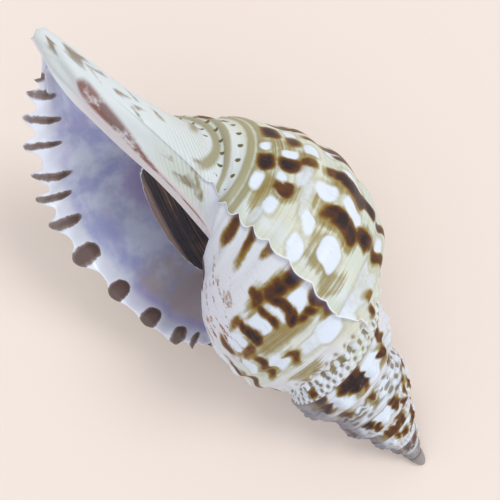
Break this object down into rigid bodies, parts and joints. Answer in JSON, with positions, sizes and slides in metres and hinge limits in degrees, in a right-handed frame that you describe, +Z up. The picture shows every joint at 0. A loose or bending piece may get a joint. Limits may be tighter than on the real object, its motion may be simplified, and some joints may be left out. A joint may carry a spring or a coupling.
{
  "type": "triton shell",
  "caption": "Large spired sea-snail shell lying mouth up, with toothed lip, open canal, knobbly varices and the horny operculum in its mouth.",
  "frame": {"origin": "on the ground, under the middle of the shell's box", "axes": "+X from the spire's tip towards the siphonal canal, +Z up out of the mouth, +Y towards the outer lip"},
  "size_m": [0.2184, 0.1092, 0.1014],
  "materials": {
    "shell": "glossy shell, cream with brown and olive blotches",
    "operculum": "dark horn, satin, with growth lines"
  },
  "bodies": {
    "root": {"shell": "shell", "operculum": "operculum"}
  },
  "joints": []
}
